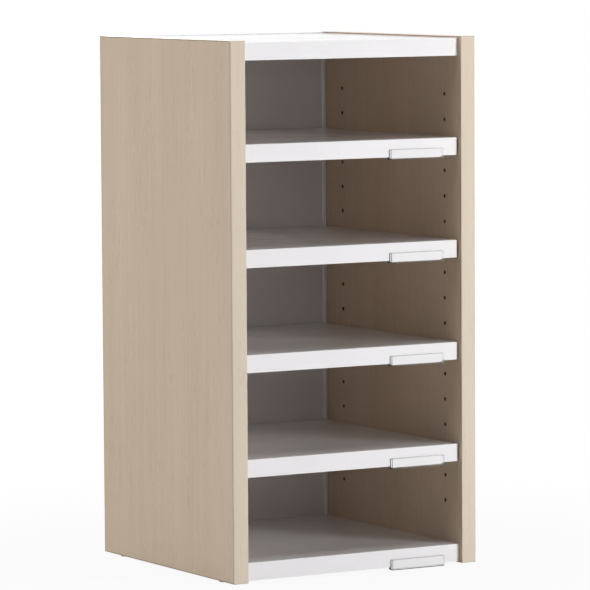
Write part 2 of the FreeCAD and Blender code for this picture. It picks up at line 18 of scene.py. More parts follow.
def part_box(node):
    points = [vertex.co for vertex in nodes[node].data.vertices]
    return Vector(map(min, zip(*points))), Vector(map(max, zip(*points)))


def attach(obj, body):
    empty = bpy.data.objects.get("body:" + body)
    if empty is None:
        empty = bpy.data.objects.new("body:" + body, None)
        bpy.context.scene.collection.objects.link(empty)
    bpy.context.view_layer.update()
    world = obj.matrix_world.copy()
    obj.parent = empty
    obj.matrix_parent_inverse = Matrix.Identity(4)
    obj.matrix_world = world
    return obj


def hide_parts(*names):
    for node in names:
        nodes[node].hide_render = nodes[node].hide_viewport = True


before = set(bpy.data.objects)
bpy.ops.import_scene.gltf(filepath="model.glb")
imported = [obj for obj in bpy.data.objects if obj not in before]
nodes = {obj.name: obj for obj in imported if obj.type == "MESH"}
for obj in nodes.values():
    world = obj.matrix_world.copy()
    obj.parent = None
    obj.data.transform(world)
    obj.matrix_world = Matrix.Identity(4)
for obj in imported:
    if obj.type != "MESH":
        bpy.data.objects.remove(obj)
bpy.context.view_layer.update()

MM = 0.001

# %% [markdown]
# ## The view
#
# The sorter is seen from the front and its left, a little above its middle, through a long lens from more
# than five metres away, so its upright edges stay nearly parallel. A camera can be placed by hand and aimed
# with a constraint, but a target, two angles, a small roll and a distance say the same in plain numbers,
# and the three directions of the camera follow from them.

# %% Camera
VIEW_AZIMUTH = math.radians(-30.56)
VIEW_ELEVATION = math.radians(4.91)
VIEW_ROLL = math.radians(-0.34)
VIEW_DISTANCE = 5374 * MM
VIEW_LENS = 259.6
VIEW_TARGET = Vector((7.6, -7.0, 335.3)) * MM
VIEW_FAR_LIMIT = 200.0


def look_at_sorter():
    across = math.cos(VIEW_ELEVATION)
    back = Vector((
        math.sin(VIEW_AZIMUTH) * across, -math.cos(VIEW_AZIMUTH) * across, math.sin(VIEW_ELEVATION),
    ))
    right = Vector((0, 0, 1)).cross(back).normalized()
    up = back.cross(right)
    rolled_right = math.cos(VIEW_ROLL) * right + math.sin(VIEW_ROLL) * up
    rolled_up = math.cos(VIEW_ROLL) * up - math.sin(VIEW_ROLL) * right
    turned = Matrix((rolled_right, rolled_up, back)).transposed().to_4x4()
    lens = bpy.data.cameras.new("camera")
    lens.lens = VIEW_LENS
    lens.clip_end = VIEW_FAR_LIMIT
    camera = bpy.data.objects.new("camera", lens)
    camera.matrix_world = Matrix.Translation(VIEW_TARGET + VIEW_DISTANCE * back) @ turned
    bpy.context.scene.collection.objects.link(camera)
    bpy.context.scene.camera = camera
    return camera


camera = look_at_sorter()
print("camera at", [round(x, 3) for x in camera.location])

# %% [markdown]
# ## Tools for node trees
#
# A finish is a tree of nodes. Written out node by node it is long and hard to read, so these short helpers
# add a node with its settings and inputs in one call. An input is a plain value or another node's output.

# %% Node helpers
NOISE_SPREAD = (0.3, 0.7)


def put(tree, kind, sockets=None, **settings):
    """A new node, with its settings first and then its inputs."""
    node = tree.nodes.new(kind)
    for name, setting in settings.items():
        setattr(node, name, setting)
    for name, given in (sockets or {}).items():
        if isinstance(given, bpy.types.NodeSocket):
            tree.links.new(given, node.inputs[name])
        else:
            node.inputs[name].default_value = given
    return node


def calc(tree, operation, first, second=0.0):
    return put(tree, "ShaderNodeMath", {0: first, 1: second}, operation=operation).outputs[0]


def ramp(tree, given, low, high, start=0.0, end=1.0):
    """A number that goes from start to end while the given one goes from low to high, and stays there."""
    sockets = {"Value": given, "From Min": low, "From Max": high, "To Min": start, "To Max": end}
    return put(tree, "ShaderNodeMapRange", sockets).outputs["Result"]


MIX_SHARE = 0
MIX_SOCKETS = {"FLOAT": (2, 3, 0), "RGBA": (6, 7, 2)}


def mix(tree, kind, share, first, second):
    """Goes from the first to the second while the share goes from 0 to 1."""
    first_in, second_in, result = MIX_SOCKETS[kind]
    sockets = {MIX_SHARE: share, first_in: first, second_in: second}
    return put(tree, "ShaderNodeMix", sockets, data_type=kind).outputs[result]


def mix_colour(tree, share, first, second):
    return mix(tree, "RGBA", share, first, second)


def mix_number(tree, share, first, second):
    return mix(tree, "FLOAT", share, first, second)


def noise(tree, place, scale, detail=2.0):
    """Soft noise about 0.5; scale is how many blotches there are in a metre, one number or one per axis."""
    if isinstance(scale, tuple):
        place = put(tree, "ShaderNodeMapping", {"Vector": place, "Scale": scale}).outputs["Vector"]
        scale = 1.0
    sockets = {"Vector": place, "Scale": scale, "Detail": detail}
    return put(tree, "ShaderNodeTexNoise", sockets).outputs["Fac"]


def own_place(tree):
    """The place on the piece itself, so that a pattern stays on a piece that moves."""
    return put(tree, "ShaderNodeTexCoord").outputs["Object"]


def colour(red, green, blue):
    """A colour written as 0 to 255 on a screen, as the linear values that nodes use."""
    shares = [channel / 255 for channel in (red, green, blue)]
    linear = [s / 12.92 if s <= 0.04045 else ((s + 0.055) / 1.055) ** 2.4 for s in shares]
    return (*linear, 1.0)


print("128 of 255 on a screen is", round(colour(128, 128, 128)[0], 3), "in a node")

# %% Helpers for groups and materials
COLOUR = "NodeSocketColor"
NUMBER = "NodeSocketFloat"
PLACE = "NodeSocketVector"


def new_group(name, inputs, outputs):
    """A shader node group with named sockets: its tree, its inputs and its output node."""
    group = bpy.data.node_groups.new(name, "ShaderNodeTree")
    for label, kind in inputs:
        group.interface.new_socket(label, in_out="INPUT", socket_type=kind)
    for label, kind in outputs:
        group.interface.new_socket(label, in_out="OUTPUT", socket_type=kind)
    given = group.nodes.new("NodeGroupInput").outputs
    return group, given, group.nodes.new("NodeGroupOutput")


def hand_out(group, output, results):
    for label, socket in results.items():
        group.links.new(socket, output.inputs[label])


def use_group(tree, group, sockets):
    return put(tree, "ShaderNodeGroup", sockets, node_tree=group).outputs


def new_material(name, **plain):
    """A material with one Principled shader; plain values are set on the shader's own sockets."""
    material = bpy.data.materials.new(name)
    material.use_nodes = True
    tree = material.node_tree
    shader = next(node for node in tree.nodes if node.type == "BSDF_PRINCIPLED")
    for label, number in plain.items():
        shader.inputs[label.replace("_", " ")].default_value = number
    return material, tree, shader


def connect(tree, shader, **sockets):
    for label, socket in sockets.items():
        tree.links.new(socket, shader.inputs[label.replace("_", " ")])


def blend_shaders(tree, share, shader, other):
    """Shows the other shader in place of the first, by so large a share."""
    both = put(tree, "ShaderNodeMixShader", {0: share, 1: shader.outputs[0], 2: other.outputs[0]})
    surface = next(node for node in tree.nodes if node.type == "OUTPUT_MATERIAL")
    tree.links.new(both.outputs[0], surface.inputs["Surface"])


def relief(tree, height, depth, strength):
    """A normal from a height of 0 to 1 that stands for so many metres."""
    sockets = {"Height": height, "Distance": depth, "Strength": strength}
    return put(tree, "ShaderNodeBump", sockets).outputs["Normal"]


def dress(names, material):
    for name in names:
        nodes[name].material_slots[0].material = material


print("groups and materials so far:", len(bpy.data.node_groups), len(bpy.data.materials))

# %% [markdown]
# ## A fine upright wood print
#
# The panels are chipboard under a printed birch decor: pale, with a fine straight grain that runs up the
# panel, soft drifts of tone a hand wide, and short strokes, some darker and some paler. Wood rings cut by a
# plane would give arches, which this quiet decor lacks, so stretched noise serves better: each layer is
# noise that is squeezed across the grain and drawn out along it. It is a group, because the boards and
# their edge bands carry the same print in their own tones.

# %% Group: wood print
wood_print, given, output = new_group(
    "wood print",
    [("Place", PLACE), ("Pale", COLOUR), ("Deep", COLOUR), ("Pore", COLOUR), ("Pore Share", NUMBER)],
    [("Colour", COLOUR), ("Height", NUMBER)],
)
DRIFT = (11.0, 11.0, 1.6)
STREAKS = (260.0, 260.0, 5.0)
FIBRES = (1100.0, 1100.0, 22.0)
STROKES = (430.0, 430.0, 55.0)
PORES = (900.0, 900.0, 90.0)
CLUSTERS = (60.0, 60.0, 9.0)
grain_place = given["Place"]


def layer(scale, low=NOISE_SPREAD[0], high=NOISE_SPREAD[1], detail=2.0):
    """Noise of one scale, spread out to run from 0 to 1."""
    return ramp(wood_print, noise(wood_print, grain_place, scale, detail), low, high)


def weighed(*parts):
    """The sum of the layers, each with its share."""
    total, *others = [calc(wood_print, "MULTIPLY", socket, share) for socket, share in parts]
    for other in others:
        total = calc(wood_print, "ADD", total, other)
    return total


fibres = layer(FIBRES)
clusters = layer(CLUSTERS, 0.45, 0.6)
dark_strokes = calc(wood_print, "MULTIPLY", layer(STROKES, 0.6, 0.72, 1.0), clusters)
pale_strokes = calc(wood_print, "MULTIPLY", layer(STROKES, 0.42, 0.3, 1.0), clusters)
pores = calc(wood_print, "MULTIPLY", layer(PORES, 0.6, 0.7, 1.0), clusters)
tone = weighed(
    (layer(DRIFT), 0.45), (layer(STREAKS), 0.3), (fibres, 0.2), (dark_strokes, 0.28), (pale_strokes, -0.25),
)
grain = mix_colour(wood_print, tone, given["Pale"], given["Deep"])
pore_share = calc(wood_print, "MULTIPLY", pores, given["Pore Share"])
printed = mix_colour(wood_print, pore_share, grain, given["Pore"])
height = weighed((fibres, 0.4), (pores, -1.0))
hand_out(wood_print, output, {"Colour": printed, "Height": height})
print("group:", wood_print.name, len(wood_print.nodes), "nodes")

# %% [markdown]
# ## Handling, worn edges and painted edge shade
#
# Nothing that is used stays even. Hands leave a faint change of gloss, and edges lose a little of their
# colour where envelopes, boxes and cloths rub. The first is broad noise. For the second, a Bevel node
# rounds the shading over a small radius: where the rounded normal leaves the true one there is an edge.
# Breaking that line up with noise keeps it from looking drawn, and the unbroken edge is handed out as well.
# Both serve several materials, so both are groups. The edge mask also carries painted shade: along the white
# coat's bends and as the dark rims of the clear plastic.

# %% Group: handling
handling, given, output = new_group("handling", [("Place", PLACE)], [("Smudge", NUMBER)])
SMUDGES = 17.0
SPECKS = 160.0
SMUDGE_SHARE = 0.7
SPECK_SHARE = 0.3
broad = ramp(handling, noise(handling, given["Place"], SMUDGES, 4.0), 0.35, 0.7)
close = ramp(handling, noise(handling, given["Place"], SPECKS, 3.0), 0.3, 0.75)
from_smudges = calc(handling, "MULTIPLY", broad, SMUDGE_SHARE)
from_specks = calc(handling, "MULTIPLY", close, SPECK_SHARE)
hand_out(handling, output, {"Smudge": calc(handling, "ADD", from_smudges, from_specks)})
print("group:", handling.name)

# %% Group: edge wear and shade
edge_wear_and_shade, given, output = new_group(
    "worn edge", [("Place", PLACE), ("Radius", NUMBER)], [("Edge", NUMBER), ("Wear", NUMBER)],
)
CHIPS = 420.0
BEVEL_SAMPLES = 4
FLAT_MATCH = 0.995
EDGE_MATCH = 0.9
bevel = put(edge_wear_and_shade, "ShaderNodeBevel", {"Radius": given["Radius"]}, samples=BEVEL_SAMPLES)
true_normal = put(edge_wear_and_shade, "ShaderNodeNewGeometry").outputs["Normal"]
normals = {0: bevel.outputs["Normal"], 1: true_normal}
match = put(edge_wear_and_shade, "ShaderNodeVectorMath", normals, operation="DOT_PRODUCT").outputs["Value"]
edge = ramp(edge_wear_and_shade, match, FLAT_MATCH, EDGE_MATCH)
chips = ramp(edge_wear_and_shade, noise(edge_wear_and_shade, given["Place"], CHIPS, 4.0), 0.42, 0.62)
hand_out(edge_wear_and_shade, output, {"Edge": edge, "Wear": calc(edge_wear_and_shade, "MULTIPLY", edge, chips)})
print("group:", edge_wear_and_shade.name)

# %% [markdown]
# ## Birch-decor boards
#
# A side panel shows its decor on both faces. Where the decor ends there is the hair-thin dark line of the
# glue under the band, and inside the drilled shelf holes the raw chipboard shows, browner and rough. One
# material serves all of it: how far a point lies below the board's faces says whether it is on a face or
# down a hole. The glue line runs along the joint, a little on the board's side and a little on the band's,
# so it is a group. The same group finds the ends of the front and rear bands, where the trimming knife
# leaves a thin brown line.

# %% Group: glue line
GLUE_IN_BOARD = 0.2 * MM
GLUE_IN_BAND = 0.7 * MM
TRIMMED_END = 0.4 * MM
LINE_CORE = 0.7
OFF_BOARD = 0.1 * MM
SQUEEZES = 90.0
SQUEEZED_SHARE = 0.3


def distance_inside(tree, coordinate, low, high):
    """How far a coordinate lies inside two limits, below zero outside them."""
    middle, half = (low + high) / 2, (high - low) / 2
    off_middle = calc(tree, "ABSOLUTE", calc(tree, "SUBTRACT", coordinate, middle))
    return calc(tree, "SUBTRACT", half, off_middle)


def near(tree, distance, width, core):
    """1 up to the core's share of the width, and 0 from the full width on."""
    return ramp(tree, distance, width, core * width)


glue_line, given, output = new_group("glue line", [("Place", PLACE)], [("Line", NUMBER)])
axes = put(glue_line, "ShaderNodeSeparateXYZ", {0: given["Place"]}).outputs
low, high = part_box("left_side_panel")
in_depth = distance_inside(glue_line, axes["Y"], low.y, high.y)
in_height = distance_inside(glue_line, axes["Z"], low.z, high.z)
rim = calc(glue_line, "MINIMUM", in_depth, in_height)
in_board = near(glue_line, rim, GLUE_IN_BOARD, LINE_CORE)
in_band = near(glue_line, rim, -GLUE_IN_BAND, LINE_CORE)
joint = calc(glue_line, "MULTIPLY", in_board, in_band)
band_low, band_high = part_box("left_front_band")
to_end = distance_inside(glue_line, axes["Z"], band_low.z, band_high.z)
off_board = ramp(glue_line, in_depth, 0.0, -OFF_BOARD)
trimmed = calc(glue_line, "MULTIPLY", near(glue_line, to_end, TRIMMED_END, LINE_CORE), off_board)
either = calc(glue_line, "MAXIMUM", joint, trimmed)
patches = ramp(glue_line, noise(glue_line, given["Place"], SQUEEZES), *NOISE_SPREAD)
left_dark = calc(glue_line, "SUBTRACT", 1.0, calc(glue_line, "MULTIPLY", patches, SQUEEZED_SHARE))
hand_out(glue_line, output, {"Line": calc(glue_line, "MULTIPLY", either, left_dark)})
print("group:", glue_line.name)

# %% Material: birch decor
BIRCH_PALE = colour(223, 203, 180)
BIRCH_DEEP = colour(209, 186, 161)
BIRCH_PORE = colour(184, 158, 130)
CHIPBOARD = colour(126, 98, 68)
CHIPBOARD_DARK = colour(86, 62, 40)
GLUE = colour(106, 82, 58)
DECOR_THICKNESS = 0.2 * MM
BIRCH_ROUGHNESS = (0.44, 0.56)
CHIPBOARD_ROUGHNESS = 0.9
CRUMBS = 900.0
BIRCH_PORE_SHARE = 0.5
BIRCH_GRAIN_DEPTH = 0.06 * MM


def birch_decor(board):
    material, tree, shader = new_material("birch_decor_" + board, Specular_IOR_Level=0.45)
    low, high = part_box(board)
    place = own_place(tree)
    across = put(tree, "ShaderNodeSeparateXYZ", {0: place}).outputs["X"]
    print_out = use_group(tree, wood_print, {
        "Place": place, "Pale": BIRCH_PALE, "Deep": BIRCH_DEEP, "Pore": BIRCH_PORE,
        "Pore Share": BIRCH_PORE_SHARE,
    })
    crumbs = ramp(tree, noise(tree, place, CRUMBS, 3.0), 0.35, 0.65)
    core = mix_colour(tree, crumbs, CHIPBOARD, CHIPBOARD_DARK)
    depth = distance_inside(tree, across, low.x, high.x)
    is_core = calc(tree, "GREATER_THAN", depth, DECOR_THICKNESS)
    line = use_group(tree, glue_line, {"Place": place})["Line"]
    faced = mix_colour(tree, line, print_out["Colour"], GLUE)
    smudge = use_group(tree, handling, {"Place": place})["Smudge"]
    satin = ramp(tree, smudge, 0.0, 1.0, *BIRCH_ROUGHNESS)
    connect(
        tree, shader, Base_Color=mix_colour(tree, is_core, faced, core),
        Roughness=mix_number(tree, is_core, satin, CHIPBOARD_ROUGHNESS),
        Normal=relief(tree, print_out["Height"], BIRCH_GRAIN_DEPTH, 0.5),
    )
    dress([board], material)
    return material


for board in ("left_side_panel", "right_side_panel"):
    print("finish:", birch_decor(board).name)

# %% [markdown]
# ## Edge bands
#
# The bands are plastic strips printed like the boards, a little paler and smoother, 2 mm thick at the front
# with rounded edges and 1 mm thick elsewhere. The same wood print gives them their grain, with fainter
# pores. At their long edges the scraped plastic is lighter, which the worn edge brings out.

# %% Material: birch band
BAND_PALE = colour(220, 207, 190)
BAND_DEEP = colour(212, 196, 176)
BAND_PORE = colour(190, 170, 148)
BAND_SCRAPED = colour(232, 219, 202)
BAND_PORE_SHARE = 0.35
BAND_SCRAPED_WIDTH = 1.2 * MM
BAND_ROUGHNESS = (0.36, 0.48)
BAND_GRAIN_DEPTH = 0.04 * MM


def birch_band():
    material, tree, shader = new_material("birch_band", Specular_IOR_Level=0.5)
    place = own_place(tree)
    print_out = use_group(tree, wood_print, {
        "Place": place, "Pale": BAND_PALE, "Deep": BAND_DEEP, "Pore": BAND_PORE,
        "Pore Share": BAND_PORE_SHARE,
    })
    scraped = use_group(tree, edge_wear_and_shade, {"Place": place, "Radius": BAND_SCRAPED_WIDTH})["Wear"]
    smudge = use_group(tree, handling, {"Place": place})["Smudge"]
    line = use_group(tree, glue_line, {"Place": place})["Line"]
    faced = mix_colour(tree, scraped, print_out["Colour"], BAND_SCRAPED)
    connect(
        tree, shader, Base_Color=mix_colour(tree, line, faced, GLUE),
        Roughness=ramp(tree, smudge, 0.0, 1.0, *BAND_ROUGHNESS),
        Normal=relief(tree, print_out["Height"], BAND_GRAIN_DEPTH, 0.4),
    )
    return material


band_names = [name for name in nodes if name.endswith("_band")]
dress(band_names, birch_band())
print("bands:", len(band_names))

# %% [markdown]
# ## White powder coat
#
# The shelves, the top, the bottom and the back are steel with a baked, glossy white powder coat: along the
# shelves it mirrors the wood beside them. Such a coat flows out to a soft ripple a millimetre or two wide,
# called orange peel, which breaks up the gloss. Painted shade darkens it a little over sharp bends, and a
# thin line of painted shade darkens it where the steel meets the side panels. A displaced mesh could carry
# the ripple, but at a few thousandths of a millimetre only its reflections show, so a bump does as well.

# %% Group: orange peel
orange_peel, given, output = new_group("orange peel", [("Place", PLACE)], [("Height", NUMBER)])
RIPPLES = 560.0
FINE_RIPPLES = 1700.0
RIPPLE_SHARE = 0.75
FINE_RIPPLE_SHARE = 0.25
wide = calc(orange_peel, "MULTIPLY", noise(orange_peel, given["Place"], RIPPLES, 1.0), RIPPLE_SHARE)
fine_noise = noise(orange_peel, given["Place"], FINE_RIPPLES, 1.0)
narrow = calc(orange_peel, "MULTIPLY", fine_noise, FINE_RIPPLE_SHARE)
hand_out(orange_peel, output, {"Height": calc(orange_peel, "ADD", wide, narrow)})
print("group:", orange_peel.name)

# %% Material: white powder coat
WHITE = colour(238, 236, 238)
WHITE_DULL = colour(235, 233, 235)
# Painted shade: the coat is drawn darker along its sharp bends.
WHITE_BEND_SHADE = colour(214, 212, 212)
BEND_SHADE_WIDTH = 0.6 * MM
BEND_SHADE_SHARE = 0.6
COAT_ROUGHNESS = (0.12, 0.2)
PEEL_DEPTH = 0.004 * MM
# Painted shade in the thin joint where the steel meets the side panels.
JOINT_SHADE = colour(150, 145, 140)
JOINT_WIDTH = 0.7 * MM
JOINT_CORE = 0.6


def painted_joint_shade(tree, place):
    """1 where the steel meets a side panel, 0 a hair further in: where painted shade darkens the coat."""
    inner_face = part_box("left_side_panel")[1].x
    across = put(tree, "ShaderNodeSeparateXYZ", {0: place}).outputs["X"]
    inside = distance_inside(tree, across, inner_face, -inner_face)
    return near(tree, inside, JOINT_WIDTH, JOINT_CORE)


def white_powder():
    material, tree, shader = new_material("white_powder_coat", Specular_IOR_Level=0.5)
    place = own_place(tree)
    smudge = use_group(tree, handling, {"Place": place})["Smudge"]
    # The mask of painted shade along the coat's sharp bends.
    bend_shade = use_group(tree, edge_wear_and_shade, {"Place": place, "Radius": BEND_SHADE_WIDTH})["Wear"]
    coat = mix_colour(tree, smudge, WHITE, WHITE_DULL)
    peel = use_group(tree, orange_peel, {"Place": place})["Height"]
    bend_shaded_coat = mix_colour(tree, calc(tree, "MULTIPLY", bend_shade, BEND_SHADE_SHARE), coat, WHITE_BEND_SHADE)
    connect(
        tree, shader, Base_Color=mix_colour(tree, painted_joint_shade(tree, place), bend_shaded_coat, JOINT_SHADE),
        Roughness=ramp(tree, smudge, 0.0, 1.0, *COAT_ROUGHNESS), Normal=relief(tree, peel, PEEL_DEPTH, 0.3),
    )
    return material


shelf_names = [f"shelf_{number}" for number in range(1, 5)]
steel_names = ["top_panel", "bottom_panel", "back_panel", *shelf_names]
dress(steel_names, white_powder())
print("white steel:", steel_names)

# %% [markdown]
# ## Round hardware
#
# Pins, screws and glides are turned or moulded round, and an edge that is truly sharp looks wrong on them.
# A primitive cylinder has such edges, so each is spun from a profile instead: a short list of places along
# the axis with a radius, with every corner rounded off by a few points of an arc.

# %% Helpers for round pieces
SEGMENTS = 40
ROUND_STEPS = 4
SHARP_ANGLE = math.radians(35)


def rounded_profile(corners):
    """The profile with its corners rounded; a corner is (along, radius, rounding)."""
    points = []
    for index, (along, radius, rounding) in enumerate(corners):
        corner = Vector((along, radius))
        if rounding == 0 or index in (0, len(corners) - 1):
            points.append(corner)
            continue
        before = (Vector(corners[index - 1][:2]) - corner).normalized()
        after = (Vector(corners[index + 1][:2]) - corner).normalized()
        start, end = corner + rounding * before, corner + rounding * after
        for step in range(ROUND_STEPS + 1):
            share = step / ROUND_STEPS
            first, second = start.lerp(corner, share), corner.lerp(end, share)
            points.append(first.lerp(second, share))
    return points


def spin(mesh, corners, start, direction):
    """Adds a turned piece to a bmesh. Its profile starts and ends on the axis."""
    axis = Vector(direction)
    side = axis.orthogonal().normalized()
    other = axis.cross(side)
    turns = [math.tau * index / SEGMENTS for index in range(SEGMENTS)]
    spokes = [math.cos(turn) * side + math.sin(turn) * other for turn in turns]
    rings = []
    for along, radius in rounded_profile(corners):
        middle = Vector(start) + along * axis
        if radius <= 0:
            rings.append([mesh.verts.new(middle)])
        else:
            rings.append([mesh.verts.new(middle + radius * spoke) for spoke in spokes])
    for first, second in zip(rings, rings[1:]):
        for index in range(SEGMENTS):
            following = (index + 1) % SEGMENTS
            around = [first[index % len(first)], first[following % len(first)]]
            around += [second[following % len(second)], second[index % len(second)]]
            mesh.faces.new(list(dict.fromkeys(around)))


def shade(data):
    """Smooth faces and crisp edges."""
    data.shade_smooth()
    data.set_sharp_from_angle(angle=SHARP_ANGLE)


def finish_piece(mesh, name, material):
    """Turns a bmesh into an object."""
    bmesh.ops.recalc_face_normals(mesh, faces=mesh.faces)
    data = bpy.data.meshes.new(name)
    mesh.to_mesh(data)
    mesh.free()
    shade(data)
    data.materials.append(material)
    piece = bpy.data.objects.new(name, data)
    bpy.context.scene.collection.objects.link(piece)
    return piece


def stand_for(piece, node, body):
    """The piece shows in place of a solid and moves with its body."""
    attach(piece, body)
    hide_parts(node)
    return piece


print("a turned piece has", SEGMENTS, "sides")

# %% [markdown]
# ## Zinc-plated steel
#
# Pins and screws are steel, turned or rolled, with a thin bright zinc plating. It is a metal with a cool
# grey tint, cloudy in patches, with fine marks round the axis. The marks are so small that noise with a
# fine grain stands for them, and the worn edge brightens the rims.

# %% Material: zinc-plated steel
ZINC = colour(196, 198, 200)
ZINC_CLOUD = colour(168, 170, 170)
ZINC_RIM = colour(222, 223, 224)
ZINC_RIM_WIDTH = 0.25 * MM
ZINC_ROUGHNESS = (0.26, 0.4)
MARKS = 2600.0
MARK_DEPTH = 0.01 * MM


def zinc_steel():
    material, tree, shader = new_material("zinc_steel", Metallic=1.0)
    place = own_place(tree)
    cloud = use_group(tree, handling, {"Place": place})["Smudge"]
    rim = use_group(tree, edge_wear_and_shade, {"Place": place, "Radius": ZINC_RIM_WIDTH})["Wear"]
    marks = noise(tree, place, MARKS)
    plating = mix_colour(tree, cloud, ZINC, ZINC_CLOUD)
    connect(
        tree, shader, Base_Color=mix_colour(tree, rim, plating, ZINC_RIM),
        Roughness=ramp(tree, marks, *NOISE_SPREAD, *ZINC_ROUGHNESS),
        Normal=relief(tree, marks, MARK_DEPTH, 0.4),
    )
    return material


zinc = zinc_steel()
print("finish:", zinc.name)

# %% [markdown]
# ## Shelf pins
#
# Each adjustable shelf hangs on four pins: a shank in the panel's hole, a collar that bears on the panel,
# and a nose that the slot in the shelf's end drops over. The four pins of a shelf share one node. Their
# places come from that node's box: two columns front and rear, mirrored left and right.

# %% Pins
PIN_RADIUS = 2.4 * MM
PIN_SHANK = 10 * MM
COLLAR_RADIUS = 4 * MM
COLLAR_THICKNESS = 1.7 * MM
NOSE_LENGTH = 6.5 * MM
PIN_PROFILE = [
    (0.0, 0.0, 0),
    (0.0, PIN_RADIUS, 0.5 * MM),
    (PIN_SHANK, PIN_RADIUS, 0),
    (PIN_SHANK, COLLAR_RADIUS, 0.3 * MM),
    (PIN_SHANK + COLLAR_THICKNESS, COLLAR_RADIUS, 0.3 * MM),
    (PIN_SHANK + COLLAR_THICKNESS, PIN_RADIUS, 0.2 * MM),
    (PIN_SHANK + COLLAR_THICKNESS + NOSE_LENGTH, PIN_RADIUS, 0.8 * MM),
    (PIN_SHANK + COLLAR_THICKNESS + NOSE_LENGTH, 0.0, 0),
]


def turned_pins(node):
    """The four pins of a shelf in one mesh, each from the end of its shank inwards."""
    low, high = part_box(node)
    level = (low.z + high.z) / 2
    mesh = bmesh.new()
    for start, inwards in ((low.x, 1), (high.x, -1)):
        for column in (low.y + COLLAR_RADIUS, high.y - COLLAR_RADIUS):
            spin(mesh, PIN_PROFILE, (start, column, level), (inwards, 0, 0))
    return finish_piece(mesh, node + "_turned", zinc)


for shelf in shelf_names:
    node = shelf + "_pins"
    pins = stand_for(turned_pins(node), node, "carcass")
    print(pins.name, len(pins.data.polygons), "faces")

# %% [markdown]
# ## Screws
#
# Screws hold the top and the bottom to the panels, and six more hold the back. What shows of each is a low
# domed head with a cross recess. The dome is a spun profile. The recess is cut with a cross-shaped tool,
# two tapered bars, the way the punch leaves it on a real screw, because a painted cross would vanish at the
# side.

# %% Helpers for recessed heads
BAR_PROUD = 0.3 * MM
BAR_WIDE = 1.15
BAR_NARROW = 0.55


def tapered_bar(mesh, start, direction, length, width, depth, turned):
    """A bar across the axis that narrows inwards, from just outside the head to so deep in it."""
    axis = Vector(direction)
    side = axis.orthogonal().normalized()
    other = axis.cross(side)
    if turned:
        side, other = other, side
    corners = []
    for along, share in ((-BAR_PROUD, BAR_WIDE), (depth, BAR_NARROW)):
        for across, over in ((1, 1), (-1, 1), (-1, -1), (1, -1)):
            sideways = 0.5 * share * (length * across * side + width * over * other)
            corners.append(mesh.verts.new(Vector(start) + along * axis + sideways))
    for face in ((0, 1, 2, 3), (4, 5, 6, 7), (0, 1, 5, 4), (1, 2, 6, 5), (2, 3, 7, 6), (3, 0, 4, 7)):
        mesh.faces.new([corners[index] for index in face])


def settle(piece):
    """Keeps what the piece's modifiers make of its mesh, and drops them."""
    shown = piece.evaluated_get(bpy.context.evaluated_depsgraph_get())
    data = bpy.data.meshes.new_from_object(shown)
    piece.modifiers.clear()
    piece.data = data


def carve(piece, tool):
    """Cuts the tool's shape out of the piece and takes the tool away."""
    cut = piece.modifiers.new("recess", "BOOLEAN")
    cut.object = tool
    cut.solver = "EXACT"
    settle(piece)
    bpy.data.objects.remove(tool)


def recessed_screws(name, profile, places, direction, recess):
    """Screws with the tops of their heads at the places; a recess is a bar's length, width and depth."""
    screws = bmesh.new()
    for place in places:
        spin(screws, profile, place, direction)
    piece = finish_piece(screws, name, zinc)
    for turned in (False, True):
        bars = bmesh.new()
        for place in places:
            tapered_bar(bars, place, direction, *recess, turned)
        carve(piece, finish_piece(bars, name + "_tool", zinc))
    shade(piece.data)
    return piece


print("the bars start", BAR_PROUD / MM, "mm outside the head")

# %% Screws of the top, the bottom and the back
TRAY_HEAD_RADIUS = 4 * MM
TRAY_HEAD_HEIGHT = 2.4 * MM
TRAY_SCREW_LENGTH = 12 * MM
TRAY_SHANK_RADIUS = 2 * MM
TRAY_RECESS = (4.6 * MM, 1.1 * MM, 1.5 * MM)
BACK_HEAD_RADIUS = 3.5 * MM
BACK_HEAD_HEIGHT = 1.2 * MM
BACK_SCREW_LENGTH = 8 * MM
BACK_SHANK_RADIUS = 1.75 * MM
BACK_RECESS = (3.6 * MM, 0.9 * MM, 0.8 * MM)
TIP_CHAMFER = 0.4 * MM


def screw_profile(head_radius, head_height, shank_radius, shank_length):
    """From the top of the head to the tip: a domed head, then a plain shank with a chamfered tip."""
    tip = head_height + shank_length
    return [
        (0.0, 0.0, 0),
        (0.0, 0.85 * head_radius, 0.3 * head_height),
        (0.5 * head_height, head_radius, 0.3 * head_height),
        (head_height, head_radius, 0.15 * head_height),
        (head_height, shank_radius, 0),
        (tip - TIP_CHAMFER, shank_radius, 0),
        (tip, 0.7 * shank_radius, 0),
        (tip, 0.0, 0),
    ]


def tray_screws(node):
    low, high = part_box(node)
    level = (low.z + high.z) / 2
    reach = TRAY_SCREW_LENGTH + TRAY_HEAD_HEIGHT
    profile = screw_profile(TRAY_HEAD_RADIUS, TRAY_HEAD_HEIGHT, TRAY_SHANK_RADIUS, TRAY_SCREW_LENGTH)
    columns = (low.y + TRAY_HEAD_RADIUS, high.y - TRAY_HEAD_RADIUS)
    halves = []
    for head, outwards in ((low.x + reach, -1), (high.x - reach, 1)):
        places = [(head, column, level) for column in columns]
        name = f"{node}_{'left' if outwards < 0 else 'right'}"
        halves.append(recessed_screws(name, profile, places, (outwards, 0, 0), TRAY_RECESS))
    return halves


def back_screws(node):
    low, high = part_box(node)
    profile = screw_profile(BACK_HEAD_RADIUS, BACK_HEAD_HEIGHT, BACK_SHANK_RADIUS, BACK_SCREW_LENGTH)
    across = (low.x + BACK_HEAD_RADIUS, 0.0, high.x - BACK_HEAD_RADIUS)
    levels = (low.z + BACK_HEAD_RADIUS, high.z - BACK_HEAD_RADIUS)
    places = [(x, high.y, z) for x in across for z in levels]
    return recessed_screws(node + "_turned", profile, places, (0, -1, 0), BACK_RECESS)


